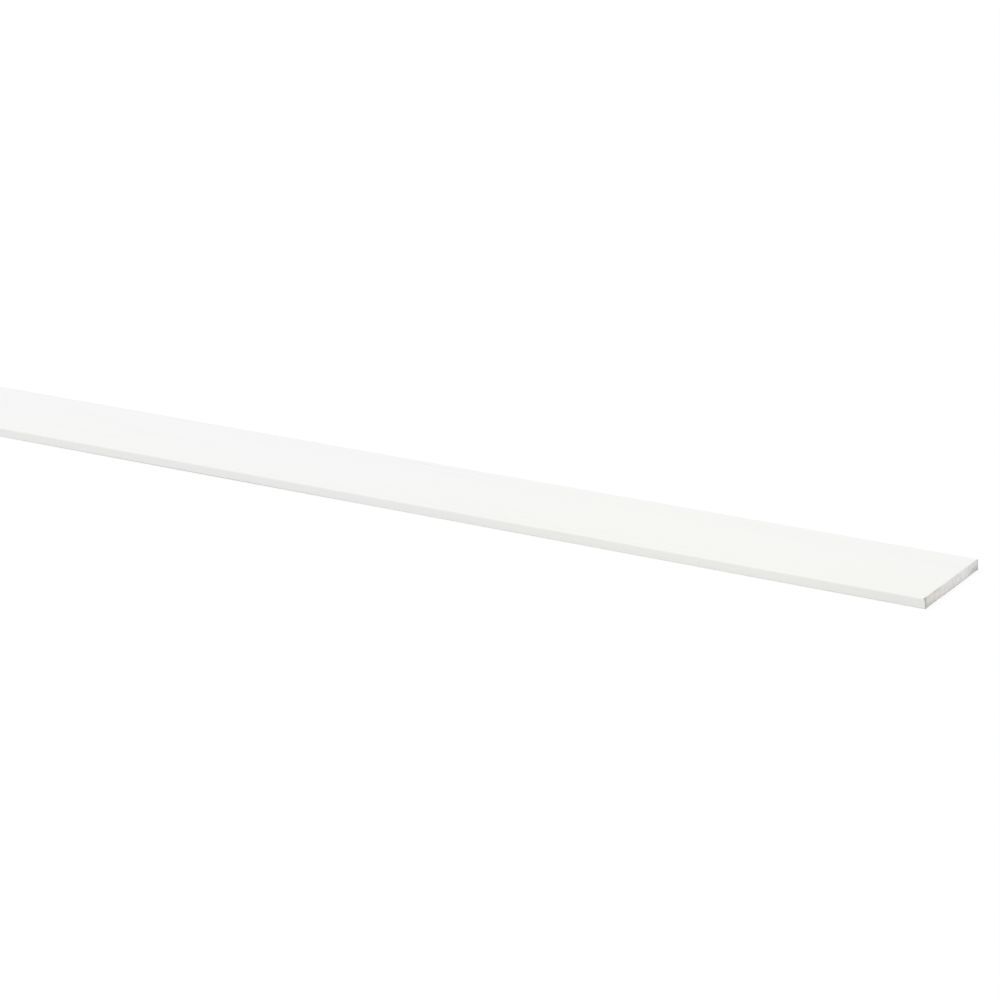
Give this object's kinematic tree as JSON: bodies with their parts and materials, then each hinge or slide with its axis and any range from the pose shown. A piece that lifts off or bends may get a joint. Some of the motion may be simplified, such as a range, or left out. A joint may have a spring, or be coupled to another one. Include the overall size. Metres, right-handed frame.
{
  "type": "plastic cover strip",
  "caption": "Flat white plastic trim strip with softened long edges and square sawn ends, glued or nailed over a joint to hide it.",
  "frame": {"origin": "middle of the back face, half way along the strip", "axes": "+X along the length, +Y across the width, +Z out of the show face, with the back face on Z = 0"},
  "size_m": [1, 0.03, 0.003],
  "materials": {
    "white_plastic": "satin extruded skin on the long faces, dull saw-cut surface on the two ends"
  },
  "bodies": {
    "root": {"cover_strip": "white_plastic"}
  },
  "joints": []
}
